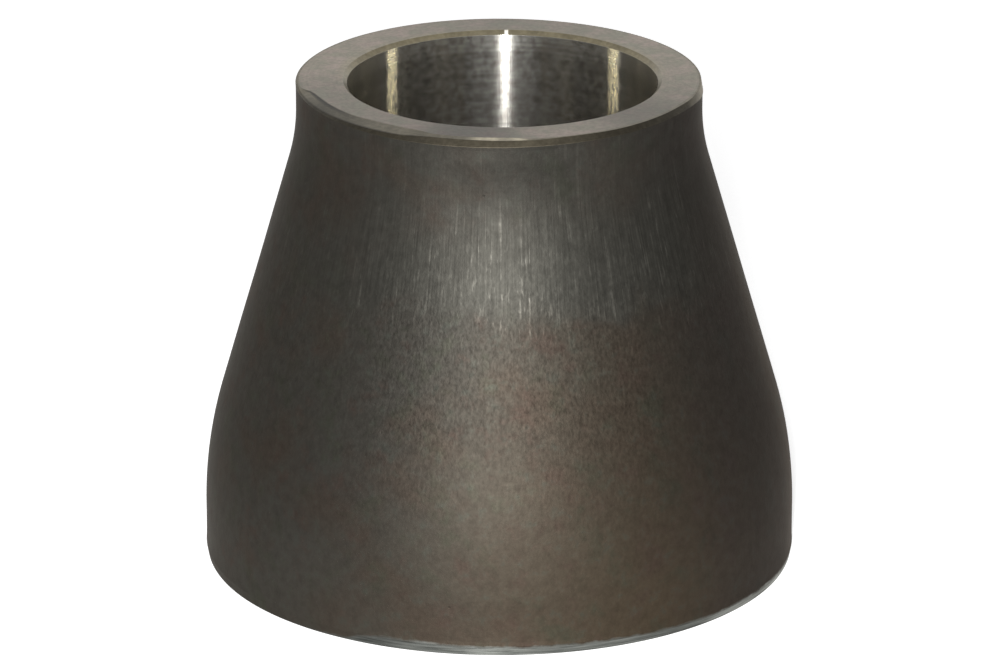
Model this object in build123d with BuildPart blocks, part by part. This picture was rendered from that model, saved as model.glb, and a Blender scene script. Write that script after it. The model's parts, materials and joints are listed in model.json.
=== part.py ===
from build123d import *
import os

# Butt-weld concentric reducer in heavy-wall carbon steel, six inch to four inch.
# It stands on its large end: the origin is the centre of that face, and +Z runs up the pipe axis.
# All sizes are in millimetres.

# Length between the two end faces
overall_length = 140.0

# Pipe sizes that the two ends match
large_end_diameter = 168.3
small_end_diameter = 114.3
small_end_wall = 13.49

# Wall of the pressed shell, which is the wall of the large pipe that it is formed from
formed_wall = 18.26

# Ogee of the shell. Each setback runs from an end face to the corner that the bend rounds off.
shoulder_setback = 31.6
shoulder_radius = 126.0
neck_setback = 15.7
neck_radius = 56.0

# Edges left by the lathe
small_rim_chamfer = 1.0
small_bore_chamfer = 1.2
large_bore_chamfer = 1.0

# Bare band skimmed round the foot of the large end
foot_band_height = 2.8
foot_band_taper = 0.5

large_end_radius = large_end_diameter / 2
small_end_radius = small_end_diameter / 2
small_bore_radius = small_end_radius - small_end_wall
neck_height = overall_length - neck_setback

os.makedirs("parts", exist_ok=True)

with BuildPart() as reducer_body:
    # Pressed shell: an even wall that follows the ogee from the straight foot to the straight neck
    with BuildSketch(Plane.XZ) as wall_section:
        with BuildLine() as wall_outline:
            outer_ogee = FilletPolyline(
                (large_end_radius, 0),
                (large_end_radius, shoulder_setback),
                (small_end_radius, neck_height),
                (small_end_radius, overall_length),
                radius=(shoulder_radius, neck_radius),
            )
            offset(outer_ogee, amount=formed_wall, side=Side.LEFT, mode=Mode.ADD)
        make_face()
    revolve(axis=Axis.Z)

    # The small end is bored to the smaller pipe, and the bore runs out in the shell's inner cone
    Hole(radius=small_bore_radius)

    # Faced small end, with both of its corners broken
    small_face = reducer_body.faces().sort_by(Axis.Z)[-1]
    bore_mouth, outer_rim = small_face.edges().sort_by(SortBy.RADIUS)
    chamfer(outer_rim, length=small_rim_chamfer)
    chamfer(bore_mouth, length=small_bore_chamfer)

    # Faced large end, with its inner corner broken
    large_face = reducer_body.faces().sort_by(Axis.Z)[0]
    chamfer(large_face.edges().sort_by(SortBy.RADIUS)[0], length=large_bore_chamfer)

    # Foot band, a steep taper that takes the skin off the large end's outer corner
    large_face = reducer_body.faces().sort_by(Axis.Z)[0]
    foot_rim = large_face.edges().sort_by(SortBy.RADIUS)[-1]
    chamfer(foot_rim, length=foot_band_taper, length2=foot_band_height, reference=large_face)

reducer_body.part.label = "reducer_body"
export_step(reducer_body.part, "parts/reducer_body.step")
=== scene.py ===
import json
import math

import bpy
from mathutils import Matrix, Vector


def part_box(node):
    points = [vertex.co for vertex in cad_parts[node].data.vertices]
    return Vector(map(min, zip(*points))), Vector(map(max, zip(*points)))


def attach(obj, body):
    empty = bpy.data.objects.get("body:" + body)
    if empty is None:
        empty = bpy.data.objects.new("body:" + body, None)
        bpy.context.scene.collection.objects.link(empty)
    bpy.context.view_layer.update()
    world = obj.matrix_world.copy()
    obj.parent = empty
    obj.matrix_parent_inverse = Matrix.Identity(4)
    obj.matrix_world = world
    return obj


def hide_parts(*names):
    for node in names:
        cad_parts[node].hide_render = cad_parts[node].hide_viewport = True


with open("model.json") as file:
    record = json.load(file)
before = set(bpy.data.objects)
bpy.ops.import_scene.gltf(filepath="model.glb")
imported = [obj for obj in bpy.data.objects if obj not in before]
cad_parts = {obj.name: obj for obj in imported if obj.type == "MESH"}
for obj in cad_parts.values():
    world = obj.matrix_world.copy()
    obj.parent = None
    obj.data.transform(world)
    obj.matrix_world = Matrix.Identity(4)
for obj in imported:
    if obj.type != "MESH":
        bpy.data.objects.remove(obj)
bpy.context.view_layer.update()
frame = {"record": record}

# Concentric butt-weld reducer in heavy-wall carbon steel, standing on its large end.
# Lengths are written in millimetres and angles in degrees. Angles round the pipe axis start at the
# front, which is -Y, and are positive to the right.

mm = 0.001


def linear(code):
    """Turn an sRGB hex code into the linear colour that the shaders work in."""
    parts = [int(code[i:i + 2], 16) / 255 for i in (1, 3, 5)]
    return [c / 12.92 if c <= 0.04045 else ((c + 0.055) / 1.055) ** 2.4 for c in parts] + [1.0]


def per(size):
    """Give the scale at which a noise pattern repeats about every size millimetres."""
    return 1 / (size * mm)


def wire(tree, node, links):
    """Set a node's inputs. Each takes a value, a node, or a node with the name of one of its outputs."""
    for key, source in links.items():
        socket = node.inputs[key] if isinstance(key, int) else next(
            s for s in node.inputs if s.enabled and s.name == key)
        if isinstance(source, bpy.types.Node):
            source = next(s for s in source.outputs if s.enabled)
        elif isinstance(source, tuple) and isinstance(source[0], bpy.types.Node):
            source = next(s for s in source[0].outputs if s.enabled and s.name == source[1])
        if isinstance(source, bpy.types.NodeSocket):
            tree.links.new(source, socket)
        else:
            socket.default_value = source


def add(tree, kind, links=None, **settings):
    """Add a node, with its settings and its links."""
    node = tree.nodes.new(kind)
    for setting, value in settings.items():
        setattr(node, setting, value)
    wire(tree, node, links or {})
    return node


def lay(curve, table, start=-180, span=360, top=1.0, handle="AUTO_CLAMPED"):
    """Lay a table of places and values out on a curve node, whose two axes both run from 0 to 1."""
    line = curve.mapping.curves[0]
    while len(line.points) < len(table):
        line.points.new(0.5, 0.5)
    for point, (at, value) in zip(line.points, table):
        point.location = ((at - start) / span, value / top)
        point.handle_type = handle
    curve.mapping.update()


# Sizes of the fitting

mounts = {mount["name"]: mount["dims"].get("r_mm") for mount in frame["record"]["mounts"]}
body_low, body_high = (Vector(corner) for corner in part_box("reducer_body"))

length = (body_high.z - body_low.z) / mm
large_radius = mounts["large_end_diameter"]
large_bore = mounts["large_bore"]
small_radius = mounts["small_end_diameter"]
small_bore = mounts["small_bore"]
wall = large_radius - large_bore

shoulder_height = 31.6
shoulder_bend = 126.0
neck_height = length - 15.7
neck_bend = 56.0

slope = math.atan2(large_radius - small_radius, neck_height - shoulder_height)
inner_shoulder_height = shoulder_height - wall * math.tan(slope / 2)
run_out_height = inner_shoulder_height + (large_bore - small_bore) / math.tan(slope)

rim_chamfer = 1.0
ground_start = 1.4
mouth_chamfer = 1.2
foot_taper = 0.5
foot_band_height = 2.8

# The meridian of the wall, once round from the foot's inner edge: radius, height and bend of each corner
corners = {
    "foot inside": (large_bore + 1.0, 0.0, 0.0),
    "foot outside": (large_radius - foot_taper, 0.0, 0.3),
    "foot band top": (large_radius, foot_band_height, 0.8),
    "shoulder": (large_radius, shoulder_height, shoulder_bend),
    "neck": (small_radius, neck_height, neck_bend),
    "rim outside": (small_radius, length - rim_chamfer, 0.12),
    "rim top": (small_radius - rim_chamfer, length, 0.12),
    "ground edge": (small_radius - ground_start, length, 0.0),
    "mouth top": (small_bore + mouth_chamfer, length, 0.15),
    "mouth inside": (small_bore, length - mouth_chamfer, 0.06),
    "bore run-out": (small_bore, run_out_height, 0.4),
    "inner shoulder": (large_bore, inner_shoulder_height, shoulder_bend - wall),
    "large bore edge": (large_bore, 1.0, 0.3),
    "foot inside again": (large_bore + 1.0, 0.0, 0.0),
}
order = {corner: number for number, corner in enumerate(corners)}

# The lathe centred the small end a little off the pressed shell
lathe_offset = (0.9, 0.9)

# Round the axis: how far the rim's broken corner reaches in from the outside and down from the face, and
# how far the flat ground on the face's outer edge reaches in and falls
corner_width = (
    (-180, 0.5), (-85, 0.5), (-50, 0.9), (-30, 1.2), (-20, 2.5), (-8, 2.1), (10, 1.6), (20, 2.1), (35, 1.5),
    (60, 1.3), (75, 0.6), (180, 0.5))
corner_drop = (
    (-180, 0.4), (-80, 0.5), (-60, 0.9), (-15, 1.5), (30, 1.3), (58, 1.2), (70, 1.6), (80, 2.5), (89, 3.0),
    (98, 2.0), (112, 0.5), (180, 0.4))
ground_width = (
    (-180, 0.9), (-84, 1.0), (-78, 3.3), (-70, 4.6), (-50, 5.2), (-38, 6.2), (-28, 6.2), (-18, 4.4),
    (-3, 4.4), (5, 4.0), (10, 2.7), (60, 2.4), (80, 1.2), (180, 0.9))
ground_fall = (
    (-180, 0.0), (-84, 0.0), (-76, 0.5), (-30, 0.6), (-20, 0.3), (10, 0.1), (60, 0.0), (180, 0.0))

# Round the axis: how high the bare band skimmed round the foot reaches, and how bright the cut left it, with
# painted highlight added at the front where the lamp falls
foot_band = (
    (-180, 2.6), (-130, 1.8), (-90, 0.5), (-55, 0.0), (-34, 0.3), (-29, 1.4), (-25, 2.5), (-18, 3.2),
    (-14, 3.1), (-9, 2.7), (10, 2.5), (30, 2.4), (43, 2.3), (54, 2.3), (75, 1.9), (110, 1.9), (180, 2.6))
foot_tone_and_sheen = (
    (-180, 1.0), (-40, 0.6), (-24, 0.6), (-18, 0.7), (-11, 0.92), (-7, 0.97), (0, 1.4), (5, 1.1), (9, 0.95),
    (18, 0.88), (26, 0.78), (33, 0.66), (39, 0.76), (48, 1.1), (60, 1.25), (74, 1.5), (110, 1.1), (180, 1.0))


# Finishes


def finish(name):
    """Start a metal finish: its material, its tree, its shader and the object's own coordinates."""
    material = bpy.data.materials.new(name)
    material.use_nodes = True
    tree = material.node_tree
    tree.nodes.clear()
    shader = add(tree, "ShaderNodeBsdfPrincipled", {"Metallic": 1.0})
    add(tree, "ShaderNodeOutputMaterial", {"Surface": shader})
    return material, tree, shader, (add(tree, "ShaderNodeTexCoord"), "Object")


def measure_round(tree, place):
    """Give a place's X, Y and Z, and its angle round the axis as a share of the whole turn."""
    split = add(tree, "ShaderNodeSeparateXYZ", {"Vector": place})
    front = add(tree, "ShaderNodeMath", {0: (split, "Y"), 1: -1.0}, operation="MULTIPLY")
    angle = add(tree, "ShaderNodeMath", {0: (split, "X"), 1: front}, operation="ARCTAN2")
    return split, add(tree, "ShaderNodeMapRange", {
        "Value": angle, "From Min": -math.pi, "From Max": math.pi, "To Min": 0.0, "To Max": 1.0})


# Hot-formed carbon steel skin, wiped with oil: a dark oxide, neutral and brushed in long upright strokes
# under the neck, grainy where the brush stopped, blotched olive and brown lower down, and skimmed bright
# round the foot.
# Painted shade darkens the skin on its right side and across the front under the neck.
hot_formed_skin, tree, shader, place = finish("hot_formed_oiled_carbon_steel")
split, round_the_axis = measure_round(tree, place)
outward = add(tree, "ShaderNodeVectorMath", {
    0: add(tree, "ShaderNodeVectorMath", {0: place, 1: (1.0, 1.0, 0.0)}, operation="MULTIPLY")},
    operation="NORMALIZE")

# The skin is unrolled at the body's middle radius, so that a pattern can be drawn out up the body
middle_radius = 65
unrolled = add(tree, "ShaderNodeVectorMath", {
    0: outward, 1: (middle_radius * mm, middle_radius * mm, 0.0),
    2: add(tree, "ShaderNodeCombineXYZ", {"Z": (split, "Z")})}, operation="MULTIPLY_ADD")

blotch = add(tree, "ShaderNodeTexNoise", {
    "Vector": add(tree, "ShaderNodeMapping", {"Vector": place, "Location": (0.05, 0.02, 0.0)}),
    "Scale": per(24), "Detail": 3.0, "Roughness": 0.55, "Distortion": 0.3})
patch = add(tree, "ShaderNodeTexNoise", {
    "Vector": add(tree, "ShaderNodeMapping", {"Vector": place, "Location": (0.31, 0.12, 0.07)}),
    "Scale": per(10), "Detail": 5.0, "Roughness": 0.62})
mottle = add(tree, "ShaderNodeTexNoise", {
    "Vector": place, "Scale": per(3.2), "Detail": 3.0, "Roughness": 0.6})
grain = add(tree, "ShaderNodeTexNoise", {
    "Vector": add(tree, "ShaderNodeMapping", {"Vector": unrolled, "Scale": (1.0, 1.0, 0.55)}),
    "Scale": per(0.8), "Detail": 3.0, "Roughness": 0.7})

# Fine strokes 0.6 mm apart and some 17 mm long, with single deeper scratches and short flecks between them
strokes = add(tree, "ShaderNodeTexNoise", {
    "Vector": add(tree, "ShaderNodeMapping", {"Vector": unrolled, "Scale": (1.0, 1.0, 0.035)}),
    "Scale": per(0.6), "Detail": 3.0, "Roughness": 0.6})
scratches = add(tree, "ShaderNodeTexNoise", {
    "Vector": add(tree, "ShaderNodeMapping", {
        "Vector": unrolled, "Scale": (1.0, 1.0, 0.05), "Location": (0.2, 0.4, 0.1)}),
    "Scale": per(1.3), "Detail": 1.5, "Roughness": 0.5})
flecks = add(tree, "ShaderNodeTexNoise", {
    "Vector": add(tree, "ShaderNodeMapping", {
        "Vector": unrolled, "Scale": (1.0, 1.0, 0.24), "Location": (0.5, 0.1, 0.3)}),
    "Scale": per(1.0), "Detail": 2.0, "Roughness": 0.55})

# Strength of each effect by height up the body. The heights wander by up to 13 mm each way, so that no
# effect ends on a level line.
wander = 13
level = add(tree, "ShaderNodeMapRange", {
    "Value": add(tree, "ShaderNodeMath", {
        0: blotch, 1: 2 * wander * mm,
        2: add(tree, "ShaderNodeMath", {0: (split, "Z"), 1: wander * mm}, operation="SUBTRACT")},
        operation="MULTIPLY_ADD"),
    "From Min": 0.0, "From Max": length * mm, "To Min": 0.0, "To Max": 1.0})
upward = {}
for effect, table in (
        ("brushed", ((0, 0.0), (84, 0.0), (93, 0.75), (101, 1.0), (118, 0.7), (127, 0.3), (140, 0.25))),
        ("grainy", ((0, 0.28), (28, 0.32), (44, 0.5), (58, 0.75), (70, 1.0), (84, 1.0), (94, 0.75),
                    (104, 0.5), (118, 0.35), (140, 0.3))),
        ("tone", ((0, 0.6), (14, 0.59), (28, 0.53), (45, 0.49), (70, 0.475), (110, 0.465), (128, 0.46),
                  (140, 0.46))),
        ("flecked", ((0, 0.0), (70, 0.0), (84, 0.6), (94, 1.0), (105, 0.9), (116, 0.35), (140, 0.2))),
        # Painted shade across the front under the neck, where the lamp's highlight falls off
        ("painted_neck_shade", ((0, 0.0), (98, 0.0), (108, 0.4), (118, 0.75), (127, 1.0), (133, 0.75), (138, 0.1),
                     (140, 0.0)))):
    upward[effect] = add(tree, "ShaderNodeFloatCurve", {"Value": level})
    lay(upward[effect], table, start=0, span=length)

# Strength of each effect by angle round the body
around = {}
for effect, table in (
        ("brushed", ((-180, 0.8), (-130, 0.5), (-75, 0.3), (-42, 0.45), (-30, 1.0), (0, 1.0), (48, 0.95),
                     (62, 0.5), (90, 0.3), (130, 0.7), (180, 0.8))),
        ("grainy", ((-180, 0.7), (-70, 0.35), (-38, 0.45), (-16, 1.0), (22, 1.0), (42, 0.5), (75, 0.4),
                    (180, 0.7))),
        # The neck-front darkening is painted shade, strongest straight in front
        ("painted_neck_shade", ((-180, 0.3), (-18, 0.0), (-6, 1.0), (8, 1.0), (34, 0.0), (180, 0.3))),
        # Painted shade by angle: this curve darkens the right side and the back of the skin
        ("painted_side_shade", ((-180, 0.3), (-40, 0.0), (18, 0.0), (38, 0.3), (56, 0.85), (70, 1.0), (86, 0.35),
                  (140, 0.4), (180, 0.3)))):
    around[effect] = add(tree, "ShaderNodeFloatCurve", {"Value": round_the_axis})
    lay(around[effect], table)
brushed, grainy, painted_neck_shade, flecked = (
    add(tree, "ShaderNodeMath", {0: upward[height_effect], 1: around[angle_effect]}, operation="MULTIPLY")
    for height_effect, angle_effect in (
        ("brushed", "brushed"), ("grainy", "grainy"), ("painted_neck_shade", "painted_neck_shade"), ("flecked", "brushed")))

# Browner to the right and low down, where the oil has dried: its share at the foot's middle, and what each
# metre up and to the right adds to it
oil_at_foot = 0.62
oil_per_metre_up = -5.5
oil_per_metre_right = 8.5
oiled = add(tree, "ShaderNodeMath", {
    0: (split, "X"), 1: oil_per_metre_right,
    2: add(tree, "ShaderNodeMath", {0: (split, "Z"), 1: oil_per_metre_up, 2: oil_at_foot},
           operation="MULTIPLY_ADD")}, operation="MULTIPLY_ADD", use_clamp=True)
oxide = add(tree, "ShaderNodeMix", {"Factor": oiled, "A": linear("#35332f"), "B": linear("#3a3228")},
            data_type="RGBA")
# Tints over the oxide: the one that follows the right-side curve is painted shade, the rest are the oxide's
# own colour
for pattern, low, high, share, tint in (
        (blotch, 0.5, 0.66, 0.45, "#393029"), (patch, 0.54, 0.68, 0.5, "#31332a"),
        (patch, 0.44, 0.32, 0.45, "#3a2f2a"), (mottle, 0.56, 0.7, 0.35, "#2e322d"),
        (around["painted_side_shade"], 0.0, 1.0, 0.65, "#343231"), (brushed, 0.0, 1.0, 1.0, "#363531")):
    oxide = add(tree, "ShaderNodeMix", {
        "Factor": add(tree, "ShaderNodeMapRange", {
            "Value": pattern, "From Min": low, "From Max": high, "To Min": 0.0, "To Max": share}),
        "A": oxide, "B": linear(tint)}, data_type="RGBA")

# Marks in the skin, each from 0 to 1, and strokes and grain either side of 0
pit = add(tree, "ShaderNodeMapRange", {
    "Value": (add(tree, "ShaderNodeTexVoronoi", {"Vector": place, "Scale": per(11)}), "Distance"),
    "From Min": 0.015, "From Max": 0.04, "To Min": 1.0, "To Max": 0.0})
stroke = add(tree, "ShaderNodeMath", {
    0: add(tree, "ShaderNodeMapRange", {
        "Value": strokes, "From Min": 0.25, "From Max": 0.75, "To Min": -0.4, "To Max": 0.4}),
    1: brushed}, operation="MULTIPLY")
scratch = add(tree, "ShaderNodeMath", {
    0: add(tree, "ShaderNodeMapRange", {
        "Value": scratches, "From Min": 0.63, "From Max": 0.73, "To Min": 0.0, "To Max": 1.0}),
    1: add(tree, "ShaderNodeMath", {
        0: add(tree, "ShaderNodeMapRange", {
            "Value": mottle, "From Min": 0.4, "From Max": 0.65, "To Min": 0.3, "To Max": 1.0}),
        1: brushed}, operation="MULTIPLY")}, operation="MULTIPLY")
fleck = add(tree, "ShaderNodeMath", {
    0: add(tree, "ShaderNodeMapRange", {
        "Value": flecks, "From Min": 0.58, "From Max": 0.72, "To Min": 0.0, "To Max": 1.0}),
    1: flecked}, operation="MULTIPLY")
speckle = add(tree, "ShaderNodeMath", {
    0: add(tree, "ShaderNodeMapRange", {
        "Value": grain, "From Min": 0.25, "From Max": 0.75, "To Min": -0.5, "To Max": 0.5}),
    1: grainy}, operation="MULTIPLY")
uneven = add(tree, "ShaderNodeMath", {0: mottle, 1: -0.5}, operation="ADD")

# Each mark lightens or darkens the oxide by its own share. The darkening on the right side and across
# the neck's front is painted shade
tone = add(tree, "ShaderNodeMath", {0: upward["tone"], 1: 2.0}, operation="MULTIPLY")
for mark, share in (
        (stroke, 0.7), (scratch, 0.9), (fleck, 0.5), (speckle, 0.85), (uneven, 0.6), (pit, -0.15),
        (painted_neck_shade, -0.27), (around["painted_side_shade"], -0.28)):
    tone = add(tree, "ShaderNodeMath", {0: tone, 1: add(
        tree, "ShaderNodeMath", {0: mark, 1: share, 2: 1.0}, operation="MULTIPLY_ADD")}, operation="MULTIPLY")
oxide = add(tree, "ShaderNodeVectorMath", {0: oxide, "Scale": tone}, operation="SCALE")

# The band's upper edge wanders by under half a millimetre, where the lathe ran out of the skin
band_top = 5.0
band_height = add(tree, "ShaderNodeFloatCurve", {"Value": round_the_axis})
lay(band_height, foot_band, top=band_top)
ragged = add(tree, "ShaderNodeTexNoise", {"Vector": place, "Scale": per(4), "Detail": 4.0, "Roughness": 0.6})
band_edge = add(tree, "ShaderNodeMath", {
    0: band_height, 1: band_top * mm,
    2: add(tree, "ShaderNodeMapRange", {
        "Value": ragged, "From Min": 0.3, "From Max": 0.7, "To Min": -0.4 * mm, "To Max": 0.3 * mm})},
    operation="MULTIPLY_ADD")
bare = add(tree, "ShaderNodeMapRange", {
    "Value": add(tree, "ShaderNodeMath", {0: band_edge, 1: (split, "Z")}, operation="SUBTRACT"),
    "From Min": -0.45 * mm, "From Max": 0.45 * mm, "To Min": 0.0, "To Max": 1.0})
skimmed = add(tree, "ShaderNodeTexNoise", {
    "Vector": add(tree, "ShaderNodeMapping", {"Vector": unrolled, "Scale": (0.06, 0.06, 1.0)}),
    "Scale": per(0.55), "Detail": 3.0, "Roughness": 0.6})
bare_steel = add(tree, "ShaderNodeMix", {
    "Factor": add(tree, "ShaderNodeMapRange", {
        "Value": skimmed, "From Min": 0.35, "From Max": 0.65, "To Min": 0.0, "To Max": 1.0}),
    "A": linear("#4e504d"), "B": linear("#797b77")}, data_type="RGBA")
# The band's tone round the axis: the cut's own brightness, with painted highlight at the front
brightest = 2.0
band_tone_and_sheen = add(tree, "ShaderNodeFloatCurve", {"Value": round_the_axis})
lay(band_tone_and_sheen, foot_tone_and_sheen, top=brightest)
bare_steel = add(tree, "ShaderNodeVectorMath", {
    0: bare_steel, "Scale": add(tree, "ShaderNodeMath", {0: band_tone_and_sheen, 1: brightest}, operation="MULTIPLY")},
    operation="SCALE")
colour = add(tree, "ShaderNodeMix", {"Factor": bare, "A": oxide, "B": bare_steel}, data_type="RGBA")

roughness = add(tree, "ShaderNodeMapRange", {
    "Value": patch, "From Min": 0.3, "From Max": 0.7, "To Min": 0.6, "To Max": 0.56})
roughness = add(tree, "ShaderNodeMix", {"Factor": brushed, "A": roughness, "B": 0.55}, data_type="FLOAT")
for mark, amount in ((scratch, -0.12), (fleck, -0.05)):
    roughness = add(tree, "ShaderNodeMath", {0: mark, 1: amount, 2: roughness}, operation="MULTIPLY_ADD")
roughness = add(tree, "ShaderNodeMix", {"Factor": bare, "A": roughness, "B": 0.42}, data_type="FLOAT")

relief = add(tree, "ShaderNodeBump", {"Strength": 1.0, "Distance": 0.16 * mm, "Height": patch})
for height, distance in (
        (add(tree, "ShaderNodeMath", {0: grain, 1: grainy}, operation="MULTIPLY"), 0.07),
        (add(tree, "ShaderNodeMath", {0: pit, 1: -1.0}, operation="MULTIPLY"), 0.05),
        (add(tree, "ShaderNodeMath", {0: strokes, 1: brushed}, operation="MULTIPLY"), 0.025),
        (scratch, -0.03)):
    relief = add(tree, "ShaderNodeBump", {
        "Strength": 1.0, "Distance": distance * mm, "Height": height, "Normal": relief})
wire(tree, shader, {
    "Base Color": colour, "Roughness": roughness, "Normal": relief, "Specular Tint": (0.62, 0.6, 0.58, 1.0)})


# Faced carbon steel: a satin warm grey that handling has smudged, with rings from the facing tool that are
# fine enough to blur. The broken corner is nearly as dark as the skin, the ground flat is brown and matt,
# with a line of painted shade along its start, and at the front a painted highlight glints on its edge.
faced_steel, tree, shader, place = finish("faced_carbon_steel")
split, round_the_axis = measure_round(tree, place)
centred = add(tree, "ShaderNodeVectorMath", {
    0: place, 1: (lathe_offset[0] * mm, lathe_offset[1] * mm, 0.0)}, operation="SUBTRACT")
from_axis = add(tree, "ShaderNodeVectorMath", {
    0: add(tree, "ShaderNodeVectorMath", {0: centred, 1: (1.0, 1.0, 0.0)}, operation="MULTIPLY")},
    operation="LENGTH")
rings = add(tree, "ShaderNodeTexNoise", {
    "Vector": add(tree, "ShaderNodeCombineXYZ", {"X": from_axis}), "Scale": per(0.6), "Detail": 2.0})
cloud = add(tree, "ShaderNodeTexNoise", {"Vector": place, "Scale": per(6), "Detail": 5.0, "Roughness": 0.65})
specks = add(tree, "ShaderNodeTexNoise", {
    "Vector": place, "Scale": per(1.2), "Detail": 3.0, "Roughness": 0.6})

# Tone and reach of each zone by angle
masks = {}
for mask, top, table in (
        ("face tone", 1.5, (
            (-180, 0.88), (-108, 1.14), (-80, 0.88), (-30, 0.78), (-12, 0.42), (8, 0.85), (22, 0.99),
            (50, 0.6), (72, 0.88), (120, 1.12), (160, 0.94), (180, 0.88))),
        # The ground flat's tone peaks at the front in a painted highlight, where the lamp glints on its edge
        ("ground tone and glint", 4.0, (
            (-180, 1.3), (-86, 1.3), (-72, 0.9), (-60, 0.55), (-50, 0.7), (-38, 0.95), (-14, 1.0), (-8, 1.9),
            (-3, 3.2), (2, 2.4), (5, 3.4), (9, 1.2), (60, 1.2), (180, 1.3))),
        ("corner tone", 3.0, (
            (-180, 1.6), (-92, 1.5), (-75, 0.9), (-58, 0.45), (-30, 0.6), (-8, 1.0), (5, 1.0), (22, 0.75),
            (38, 0.45), (62, 0.5), (70, 0.9), (78, 1.7), (86, 2.2), (100, 1.9), (180, 1.6))),
        # Reach round the axis of a line of painted shade along the crease where the ground flat starts
        ("crease shade reach", 1.0, ((-180, 0.0), (-82, 0.0), (-76, 1.0), (-56, 0.7), (-44, 0.0), (180, 0.0))),
        ("far side", 1.0, (
            (-180, 1.0), (-120, 1.0), (-80, 0.2), (0, 0.0), (80, 0.2), (120, 0.9), (180, 1.0)))):
    masks[mask] = add(tree, "ShaderNodeFloatCurve", {"Value": round_the_axis})
    lay(masks[mask], table, top=top)
    if top != 1.0:
        masks[mask] = add(tree, "ShaderNodeMath", {0: masks[mask], 1: top}, operation="MULTIPLY")

# Place of each zone along the meridian, as shares of a stretch past or short of a corner
stretch = (add(tree, "ShaderNodeAttribute", attribute_name="stretch"), "Fac")
for mask, corner, start, end in (
        ("corner", "rim top", 0.15, 0.03), ("ground", "ground edge", 0.01, -0.12),
        ("line", "ground edge", -0.4, -0.12), ("mouth", "mouth top", -0.24, -0.08),
        ("mouth corner", "mouth top", -0.02, 0.02)):
    masks[mask] = add(tree, "ShaderNodeMapRange", {
        "Value": stretch, "From Min": order[corner] + start, "From Max": order[corner] + end,
        "To Min": 0.0, "To Max": 1.0})
for mask, limits in (("line", ("crease shade reach", "ground")), ("mouth", ("far side",))):
    for limit in limits:
        masks[mask] = add(tree, "ShaderNodeMath", {0: masks[mask], 1: masks[limit]}, operation="MULTIPLY")

# A painted highlight in the mouth's corner at the back: a bright upright line where the lamp glints on it
spur_from_middle = 2.0
off_spur = add(tree, "ShaderNodeMath", {
    0: add(tree, "ShaderNodeMath", {0: (split, "X"), 1: spur_from_middle * mm}, operation="SUBTRACT")},
    operation="ABSOLUTE")
spur_highlight = add(tree, "ShaderNodeMath", {
    0: add(tree, "ShaderNodeMapRange", {
        "Value": off_spur, "From Min": 0.65 * mm, "From Max": 0.4 * mm, "To Min": 0.0, "To Max": 1.0}),
    1: add(tree, "ShaderNodeMath", {0: (split, "Y"), 1: 0.0}, operation="GREATER_THAN")},
    operation="MULTIPLY")

satin = add(tree, "ShaderNodeMix", {
    "Factor": add(tree, "ShaderNodeMapRange", {
        "Value": cloud, "From Min": 0.38, "From Max": 0.62, "To Min": 0.0, "To Max": 1.0}),
    "A": linear("#757161"), "B": linear("#7e736a")}, data_type="RGBA")
satin = add(tree, "ShaderNodeMix", {"Factor": masks["mouth"], "A": satin, "B": linear("#7a7363")},
            data_type="RGBA")
satin = add(tree, "ShaderNodeVectorMath", {0: satin, "Scale": masks["face tone"]}, operation="SCALE")
# Tints over the satin: the ground flat's brown with its painted glint, a line of painted shade, and the
# broken corner
for mask, tint, tone in (("ground", "#635e52", "ground tone and glint"), ("line", "#2a2824", None),
                         ("corner", "#4d483d", "corner tone")):
    tint = linear(tint)
    if tone:
        tint = add(tree, "ShaderNodeVectorMath", {0: tint[:3], "Scale": masks[tone]}, operation="SCALE")
    satin = add(tree, "ShaderNodeMix", {"Factor": masks[mask], "A": satin, "B": tint}, data_type="RGBA")
# The mouth corner's brown stain, with the painted highlight laid into it at the back
mouth_stain_and_highlight = add(tree, "ShaderNodeMix", {"Factor": spur_highlight, "A": linear("#756e5b"), "B": linear("#f1eee4")},
            data_type="RGBA")
satin = add(tree, "ShaderNodeMix", {"Factor": masks["mouth corner"], "A": satin, "B": mouth_stain_and_highlight},
            data_type="RGBA")
for pattern, share in ((rings, 0.05), (cloud, 0.1), (specks, 0.11)):
    satin = add(tree, "ShaderNodeVectorMath", {0: satin, "Scale": add(tree, "ShaderNodeMapRange", {
        "Value": pattern, "From Min": 0.4, "From Max": 0.6, "To Min": 1 - share, "To Max": 1 + share})},
        operation="SCALE")

roughness = add(tree, "ShaderNodeMapRange", {
    "Value": cloud, "From Min": 0.3, "From Max": 0.7, "To Min": 0.36, "To Max": 0.46})
for mask, value in (("ground", 0.5), ("corner", 0.56), ("mouth corner", 0.3)):
    roughness = add(tree, "ShaderNodeMix", {"Factor": masks[mask], "A": roughness, "B": value},
                    data_type="FLOAT")
relief = add(tree, "ShaderNodeBump", {"Strength": 1.0, "Distance": 0.012 * mm, "Height": rings})
relief = add(tree, "ShaderNodeBump", {
    "Strength": 1.0, "Distance": 0.03 * mm, "Height": specks, "Normal": relief})
wire(tree, shader, {"Base Color": satin, "Roughness": roughness, "Normal": relief})


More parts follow.
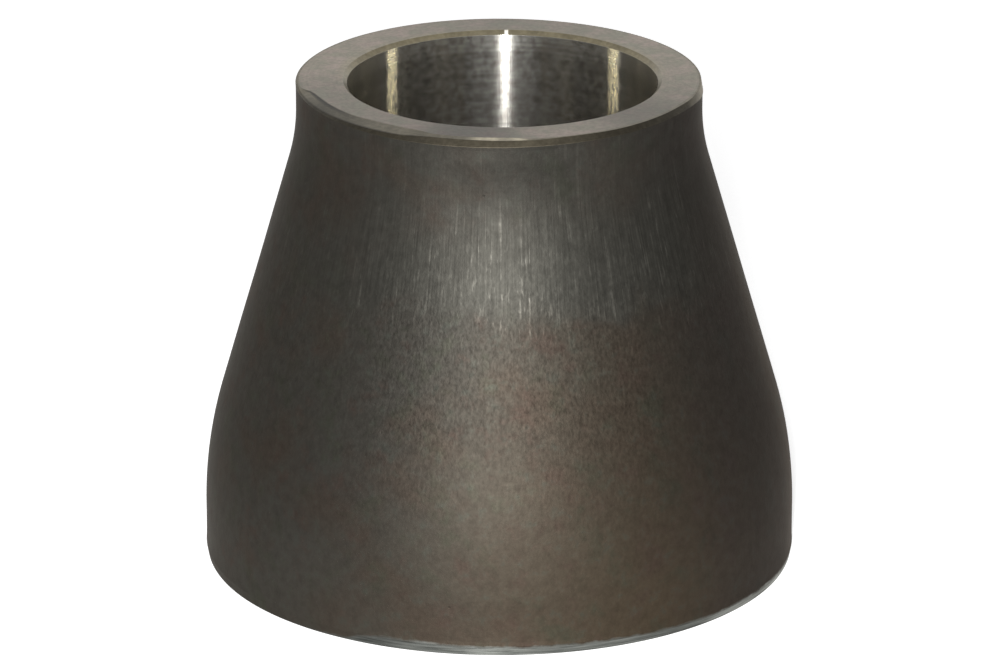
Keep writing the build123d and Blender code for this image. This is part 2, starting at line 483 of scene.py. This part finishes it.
# Fine-turned bore: the tool's rings draw every highlight out into a thin upright line, which is nearly
# white opposite the light and comes back yellowish and broken from both sides, where two lighter bands
# are painted in to strengthen the light's double reflection.
turned_bore, tree, shader, place = finish("fine_turned_carbon_steel")
split = add(tree, "ShaderNodeSeparateXYZ", {"Vector": place})
rings = add(tree, "ShaderNodeTexNoise", {
    "Vector": add(tree, "ShaderNodeCombineXYZ", {"X": 0.5, "Y": 0.3, "Z": (split, "Z")}),
    "Scale": per(0.45), "Detail": 2.0})
marks = add(tree, "ShaderNodeTexNoise", {
    "Vector": place, "Scale": per(2.2), "Detail": 5.0, "Roughness": 0.7})
chatter = add(tree, "ShaderNodeTexNoise", {
    "Vector": add(tree, "ShaderNodeMapping", {"Vector": place, "Scale": (1.0, 1.0, 0.28)}),
    "Scale": per(0.6), "Detail": 2.0})

# Across the bore: a band of painted reflection on each side, broken by chatter, and past it a lighter, warmer
# wall
double_reflection_at = 0.722 * small_bore
off_centre = add(tree, "ShaderNodeMath", {
    0: add(tree, "ShaderNodeMath", {0: (split, "X"), 1: lathe_offset[0] * mm}, operation="SUBTRACT")},
    operation="ABSOLUTE")
off_band = add(tree, "ShaderNodeMath", {
    0: add(tree, "ShaderNodeMath", {0: off_centre, 1: double_reflection_at * mm}, operation="SUBTRACT")},
    operation="ABSOLUTE")
double_reflection_band = add(tree, "ShaderNodeMath", {
    0: add(tree, "ShaderNodeMapRange", {
        "Value": off_band, "From Min": 1.8 * mm, "From Max": 1.2 * mm, "To Min": 0.0, "To Max": 1.0}),
    1: add(tree, "ShaderNodeMapRange", {
        "Value": chatter, "From Min": 0.4, "From Max": 0.5, "To Min": 0.2, "To Max": 1.0})},
    operation="MULTIPLY")
side = add(tree, "ShaderNodeMapRange", {
    "Value": off_centre, "From Min": 33 * mm, "From Max": 36 * mm, "To Min": 0.0, "To Max": 0.8})

bore_steel = add(tree, "ShaderNodeMix", {
    "Factor": add(tree, "ShaderNodeMapRange", {
        "Value": marks, "From Min": 0.4, "From Max": 0.62, "To Min": 0.0, "To Max": 1.0}),
    "A": linear("#c1c0b9"), "B": linear("#a29d96")}, data_type="RGBA")
# The light tint on the two bands is painted reflection
for mask, tint in ((side, "#cbc5b5"), (double_reflection_band, "#ece4c9")):
    bore_steel = add(tree, "ShaderNodeMix", {"Factor": mask, "A": bore_steel, "B": linear(tint)},
                     data_type="RGBA")

# Painted light makes the bore brightest deep down and duller towards its mouth, with a short land at the
# mouth that is rougher
bright_depth = 32
dull_depth = 8
land_depth = 5.8
bore_steel = add(tree, "ShaderNodeVectorMath", {0: bore_steel, "Scale": add(tree, "ShaderNodeMapRange", {
    "Value": (split, "Z"), "From Min": (length - bright_depth) * mm, "From Max": (length - dull_depth) * mm,
    "To Min": 1.2, "To Max": 0.98})}, operation="SCALE")
land = add(tree, "ShaderNodeMapRange", {
    "Value": (split, "Z"), "From Min": (length - land_depth - 0.1) * mm,
    "From Max": (length - land_depth + 0.1) * mm, "To Min": 0.0, "To Max": 1.0})
roughness = add(tree, "ShaderNodeMapRange", {
    "Value": rings, "From Min": 0.3, "From Max": 0.7, "To Min": 0.18, "To Max": 0.21})
for mask, amount in ((land, 0.02), (double_reflection_band, 0.05)):
    roughness = add(tree, "ShaderNodeMath", {0: mask, 1: amount, 2: roughness}, operation="MULTIPLY_ADD")
wire(tree, shader, {
    "Base Color": bore_steel, "Roughness": roughness, "Anisotropic": 1.0, "Anisotropic Rotation": 0.25,
    "Tangent": add(tree, "ShaderNodeTangent", direction_type="RADIAL", axis="Z"),
    "Normal": add(tree, "ShaderNodeBump", {"Strength": 1.0, "Distance": 0.008 * mm, "Height": chatter})})


# Mill scale inside the shell: matt blue-black oxide that nothing has rubbed.
mill_scale, tree, shader, place = finish("mill_scale_on_carbon_steel")
crust = add(tree, "ShaderNodeTexNoise", {"Vector": place, "Scale": per(6), "Detail": 5.0, "Roughness": 0.65})
scale_colour = add(tree, "ShaderNodeMix", {
    "Factor": add(tree, "ShaderNodeMapRange", {
        "Value": crust, "From Min": 0.38, "From Max": 0.66, "To Min": 0.0, "To Max": 1.0}),
    "A": linear("#33322f"), "B": linear("#453c33")}, data_type="RGBA")
wire(tree, shader, {
    "Base Color": scale_colour, "Roughness": 0.68,
    "Normal": add(tree, "ShaderNodeBump", {"Strength": 1.0, "Distance": 0.25 * mm, "Height": crust})})


# The lathe tree turns the meridian once round the axis

inputs = {
    "Rows every": ("NodeSocketFloat", 1.25 * mm),
    "Steps round": ("NodeSocketInt", 400),
    "Lathe offset": ("NodeSocketVector", (lathe_offset[0] * mm, lathe_offset[1] * mm, 0.0)),
    "Forging dips": ("NodeSocketFloat", 0.22 * mm),
    "Seed": ("NodeSocketFloat", 3.7),
}
for corner, (radius, height, bend) in corners.items():
    inputs[corner] = ("NodeSocketVector", (radius * mm, 0.0, height * mm))
    inputs[corner + " bend"] = ("NodeSocketFloat", bend * mm)

lathe = bpy.data.node_groups.new("lathe", "GeometryNodeTree")
for name, (kind, value) in inputs.items():
    lathe.interface.new_socket(name, in_out="INPUT", socket_type=kind)
lathe.interface.new_socket("Geometry", in_out="OUTPUT", socket_type="NodeSocketGeometry")
given = add(lathe, "NodeGroupInput")

index = add(lathe, "GeometryNodeInputIndex")
place = add(lathe, "GeometryNodeInputPosition")
places = add(lathe, "GeometryNodeIndexSwitch", {"Index": index}, data_type="VECTOR")
bends = add(lathe, "GeometryNodeIndexSwitch", {"Index": index}, data_type="FLOAT")
for corner, number in order.items():
    for switch, name in ((places, corner), (bends, corner + " bend")):
        if number >= len(switch.index_switch_items):
            switch.index_switch_items.new()
        wire(lathe, switch, {number + 1: (given, name)})

# Chain of corners, with each bend rounded off in rows as high as the rest
chain = add(lathe, "GeometryNodeMeshToCurve", {
    "Mesh": add(lathe, "GeometryNodeMeshLine", {"Count": len(corners)})})
chain = add(lathe, "GeometryNodeSetPosition", {"Geometry": chain, "Position": places})
chain = add(lathe, "GeometryNodeStoreNamedAttribute", {
    "Geometry": chain, "Name": "stretch", "Value": index}, data_type="FLOAT")
bend_rows = add(lathe, "ShaderNodeMath", {
    0: bends, 1: add(lathe, "ShaderNodeMath", {0: slope, 1: (given, "Rows every")}, operation="DIVIDE"),
    2: 2.0}, operation="MULTIPLY_ADD")
chain = add(lathe, "GeometryNodeFilletCurve", {
    "Curve": chain, "Radius": bends, "Limit Radius": True, "Count": bend_rows}, mode="POLY")
stretch = add(lathe, "GeometryNodeInputNamedAttribute", {"Name": "stretch"}, data_type="FLOAT")
there = add(lathe, "GeometryNodeFieldAtIndex", {
    "Value": place, "Index": add(lathe, "FunctionNodeIntegerMath", {0: index, 1: 1}, operation="ADD")},
    data_type="FLOAT_VECTOR", domain="POINT")
gap = add(lathe, "ShaderNodeVectorMath", {0: place, 1: there}, operation="DISTANCE")

# Rows are two and a half times as high inside the shell, past the bore
unseen = add(lathe, "ShaderNodeMath", {0: stretch, 1: order["bore run-out"] - 0.1}, operation="GREATER_THAN")
row = add(lathe, "ShaderNodeMath", {
    0: (given, "Rows every"),
    1: add(lathe, "ShaderNodeMath", {0: unseen, 1: 1.5, 2: 1.0}, operation="MULTIPLY_ADD")},
    operation="MULTIPLY")
chain = add(lathe, "GeometryNodeSubdivideCurve", {"Curve": chain, "Cuts": add(lathe, "ShaderNodeMath", {
    0: add(lathe, "ShaderNodeMath", {0: gap, 1: row}, operation="DIVIDE")}, operation="FLOOR")})

# Grid with one row for each point of the chain and one column for each step round
rows = (add(lathe, "GeometryNodeAttributeDomainSize", {"Geometry": chain}, component="CURVE"), "Point Count")
columns = add(lathe, "FunctionNodeIntegerMath", {0: (given, "Steps round"), 1: 1}, operation="ADD")
shell = add(lathe, "GeometryNodeMeshGrid", {"Vertices X": rows, "Vertices Y": columns})
row_number = add(lathe, "FunctionNodeIntegerMath", {0: index, 1: columns}, operation="DIVIDE_FLOOR")
column_number = add(lathe, "FunctionNodeIntegerMath", {0: index, 1: columns}, operation="MODULO")
turn = add(lathe, "ShaderNodeMath", {
    0: add(lathe, "ShaderNodeMath", {0: column_number, 1: (given, "Steps round")}, operation="DIVIDE"),
    1: -2 * math.pi}, operation="MULTIPLY")
shell = add(lathe, "GeometryNodeStoreNamedAttribute", {
    "Geometry": (shell, "Mesh"), "Name": "stretch",
    "Value": add(lathe, "GeometryNodeSampleIndex", {"Geometry": chain, "Value": stretch, "Index": row_number},
                 data_type="FLOAT", domain="POINT")}, data_type="FLOAT")
meridian = add(lathe, "GeometryNodeSampleIndex", {"Geometry": chain, "Value": place, "Index": row_number},
               data_type="FLOAT_VECTOR", domain="POINT")
shell = add(lathe, "GeometryNodeSetPosition", {
    "Geometry": shell, "Position": add(lathe, "ShaderNodeVectorRotate", {"Vector": meridian, "Angle": turn},
                                       rotation_type="Z_AXIS")})

# Round the axis the rim's broken corner and the ground flat change from their sizes in the chain
split, round_the_axis = measure_round(lathe, place)
outward = add(lathe, "ShaderNodeVectorMath", {
    0: add(lathe, "ShaderNodeVectorMath", {0: place, 1: (1.0, 1.0, 0.0)}, operation="MULTIPLY")},
    operation="NORMALIZE")
moves = None
for corner, table, top, direction, in_the_chain in (
        ("rim outside", corner_drop, 4.0, (0.0, 0.0, 1.0), rim_chamfer),
        ("rim top", corner_width, 4.0, outward, rim_chamfer),
        ("rim top", ground_fall, 1.0, (0.0, 0.0, 1.0), 0.0),
        ("ground edge", ground_width, 8.0, outward, ground_start)):
    width = add(lathe, "ShaderNodeFloatCurve", {"Value": round_the_axis})
    lay(width, table, top=top)
    beyond = add(lathe, "ShaderNodeMath", {0: width, 1: -top * mm, 2: in_the_chain * mm},
                 operation="MULTIPLY_ADD")
    from_corner = add(lathe, "ShaderNodeMath", {
        0: add(lathe, "ShaderNodeMath", {0: stretch, 1: float(order[corner])}, operation="SUBTRACT")},
        operation="ABSOLUTE")
    near = add(lathe, "ShaderNodeMath", {0: 1.0, 1: from_corner}, operation="SUBTRACT", use_clamp=True)
    move = add(lathe, "ShaderNodeVectorMath", {
        0: direction, "Scale": add(lathe, "ShaderNodeMath", {0: beyond, 1: near}, operation="MULTIPLY")},
        operation="SCALE")
    moves = add(lathe, "ShaderNodeVectorMath", {0: moves, 1: move}, operation="ADD") if moves else move
shell = add(lathe, "GeometryNodeSetPosition", {"Geometry": shell, "Offset": moves})

# The bore, its mouth and the face's inner edge stand off the shell's axis, and the inner cone meets them
shift = add(lathe, "ShaderNodeFloatCurve", {"Value": add(lathe, "ShaderNodeMapRange", {
    "Value": stretch, "From Min": float(order["ground edge"]), "From Max": float(order["inner shoulder"]),
    "To Min": 0.0, "To Max": 1.0})})
lay(shift, ((0.0, 0.0), (0.25, 1.0), (0.75, 1.0), (1.0, 0.0)), start=0, span=1, handle="VECTOR")
shell = add(lathe, "GeometryNodeSetPosition", {"Geometry": shell, "Offset": add(
    lathe, "ShaderNodeVectorMath", {0: (given, "Lathe offset"), "Scale": shift}, operation="SCALE")})

# Each stretch of the meridian takes its own finish, and the seams close
shell = add(lathe, "GeometryNodeSetMaterial", {"Geometry": shell, "Material": hot_formed_skin})
hair = 0.001
for first, last, material in (
        ("rim outside", "mouth inside", faced_steel), ("mouth inside", "bore run-out", turned_bore),
        ("bore run-out", "large bore edge", mill_scale),
        ("large bore edge", "foot inside again", faced_steel), ("foot inside", "foot outside", faced_steel)):
    after = add(lathe, "ShaderNodeMath", {0: stretch, 1: order[first] - hair}, operation="GREATER_THAN")
    before = add(lathe, "ShaderNodeMath", {0: stretch, 1: order[last] - hair}, operation="LESS_THAN")
    shell = add(lathe, "GeometryNodeSetMaterial", {"Geometry": shell, "Material": material, "Selection": add(
        lathe, "ShaderNodeMath", {0: after, 1: before}, operation="MULTIPLY")})
shell = add(lathe, "GeometryNodeMergeByDistance", {"Geometry": shell, "Distance": 0.002 * mm})

# Shallow dips that the dies left in the skin, never proud of the nominal form
dips = add(lathe, "ShaderNodeTexNoise", {
    "Vector": place, "W": (given, "Seed"), "Scale": per(34), "Detail": 1.0}, noise_dimensions="4D")
skin = add(lathe, "ShaderNodeFloatCurve", {"Value": add(lathe, "ShaderNodeMapRange", {
    "Value": stretch, "From Min": float(order["foot band top"]), "From Max": float(order["rim outside"]),
    "To Min": 0.0, "To Max": 1.0})})
lay(skin, ((0.0, 0.0), (0.2, 1.0), (0.85, 1.0), (1.0, 0.0)), start=0, span=1, handle="AUTO")
depth = add(lathe, "ShaderNodeMath", {
    0: add(lathe, "ShaderNodeMath", {0: dips, 1: skin}, operation="MULTIPLY"),
    1: add(lathe, "ShaderNodeMath", {0: (given, "Forging dips"), 1: -1.0}, operation="MULTIPLY")},
    operation="MULTIPLY")
shell = add(lathe, "GeometryNodeSetPosition", {"Geometry": shell, "Offset": add(
    lathe, "ShaderNodeVectorMath", {0: add(lathe, "GeometryNodeInputNormal"), "Scale": depth},
    operation="SCALE")})

# Edges that turn by more than 28 degrees stay sharp
shell = add(lathe, "GeometryNodeSetShadeSmooth", {
    "Geometry": shell, "Shade Smooth": False, "Selection": add(lathe, "ShaderNodeMath", {
        0: (add(lathe, "GeometryNodeInputMeshEdgeAngle"), "Unsigned Angle"), 1: math.radians(28)},
        operation="GREATER_THAN")}, domain="EDGE")
shell = add(lathe, "GeometryNodeRealizeInstances", {"Geometry": shell})
add(lathe, "NodeGroupOutput", {"Geometry": shell})

blank = bpy.data.objects.new("reducer_wall_source", bpy.data.meshes.new("blank"))
bpy.context.scene.collection.objects.link(blank)
modifier = blank.modifiers.new("lathe", "NODES")
modifier.node_group = lathe
for item in lathe.interface.items_tree:
    if item.in_out == "INPUT":
        modifier[item.identifier] = inputs[item.name][1]
turned_mesh = bpy.data.meshes.new_from_object(blank.evaluated_get(bpy.context.evaluated_depsgraph_get()))
blank.modifiers.clear()
bpy.data.objects.remove(blank)

# The first slot is the blank's own, and it is empty
turned_mesh.materials.pop(index=0)
reducer_wall = bpy.data.objects.new("reducer_wall", turned_mesh)
bpy.context.scene.collection.objects.link(reducer_wall)

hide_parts("reducer_body")
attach(reducer_wall, "root")


# Floor, light and camera, all in metres


def white_when_seen(tree, unseen_strength, seen_strength):
    """Give one strength to the rays that see a surface, straight or mirrored, and another to the rest."""
    rays = add(tree, "ShaderNodeLightPath")
    mirrored = add(tree, "ShaderNodeMath", {
        0: (rays, "Is Glossy Ray"), 1: (rays, "Is Transmission Ray")}, operation="MAXIMUM")
    seen = add(tree, "ShaderNodeMath", {0: (rays, "Is Camera Ray"), 1: mirrored}, operation="MAXIMUM")
    return add(tree, "ShaderNodeMapRange", {
        "Value": seen, "To Min": unseen_strength, "To Max": seen_strength})


reach = 4.0
floor_height = -0.1 * mm
floor_mesh = bpy.data.meshes.new("studio_floor")
floor_mesh.from_pydata(
    [(x * reach, y * reach, floor_height) for x, y in ((-1, -1), (1, -1), (1, 1), (-1, 1))],
    [], [(0, 1, 2, 3)])
studio_floor = bpy.data.objects.new("studio_floor", floor_mesh)
bpy.context.scene.collection.objects.link(studio_floor)
paper = bpy.data.materials.new("white_backdrop_paper")
paper.use_nodes = True
tree = paper.node_tree
tree.nodes.clear()
add(tree, "ShaderNodeOutputMaterial", {"Surface": add(tree, "ShaderNodeAddShader", {
    0: add(tree, "ShaderNodeBsdfDiffuse", {"Color": linear("#e6e6e6")}),
    1: add(tree, "ShaderNodeEmission", {
        "Color": (1.0, 1.0, 1.0, 1.0), "Strength": white_when_seen(tree, 0.0, 0.66)})})})
floor_mesh.materials.append(paper)

world = bpy.data.worlds.new("studio")
world.use_nodes = True
tree = world.node_tree
tree.nodes.clear()
add(tree, "ShaderNodeOutputWorld", {"Surface": add(tree, "ShaderNodeBackground", {
    "Color": (1.0, 1.0, 1.0, 1.0), "Strength": white_when_seen(tree, 0.3, 1.0)})})
bpy.context.scene.world = world


def aim(thing, azimuth, elevation, distance, target):
    """Stand a lamp or the camera off the target at an angle round the axis and a height angle, facing it."""
    turn, rise = math.radians(azimuth), math.radians(elevation)
    away = Vector((math.sin(turn) * math.cos(rise), -math.cos(turn) * math.cos(rise), math.sin(rise)))
    thing.location = Vector(target) + away * distance
    thing.rotation_euler = away.to_track_quat("Z", "Y").to_euler()


middle = (0.0, 0.0, 64 * mm)
for name, width, height, power, azimuth, elevation, distance in (
        ("strip_light", 0.07, 0.82, 54.0, -2.0, 15.5, 1.75), ("soft_box", 1.7, 0.9, 10.0, 0.0, 22.0, 2.0)):
    lamp = bpy.data.lights.new(name, "AREA")
    lamp.shape = "RECTANGLE"
    lamp.size = width
    lamp.size_y = height
    lamp.energy = power
    stand = bpy.data.objects.new(name, lamp)
    bpy.context.scene.collection.objects.link(stand)
    aim(stand, azimuth, elevation, distance, middle)

camera_distance = 1.78597
camera_elevation = 20.08
camera_target = (0.2 * mm, 0.0, 63.864 * mm)
camera = bpy.data.cameras.new("camera")
camera.sensor_width = 36
camera.lens = 226.0
camera.clip_start = 0.01
camera.clip_end = 50
viewer = bpy.data.objects.new("camera", camera)
bpy.context.scene.collection.objects.link(viewer)
aim(viewer, 0.0, camera_elevation, camera_distance, camera_target)
bpy.context.scene.camera = viewer

bpy.context.scene.view_settings.view_transform = "Standard"
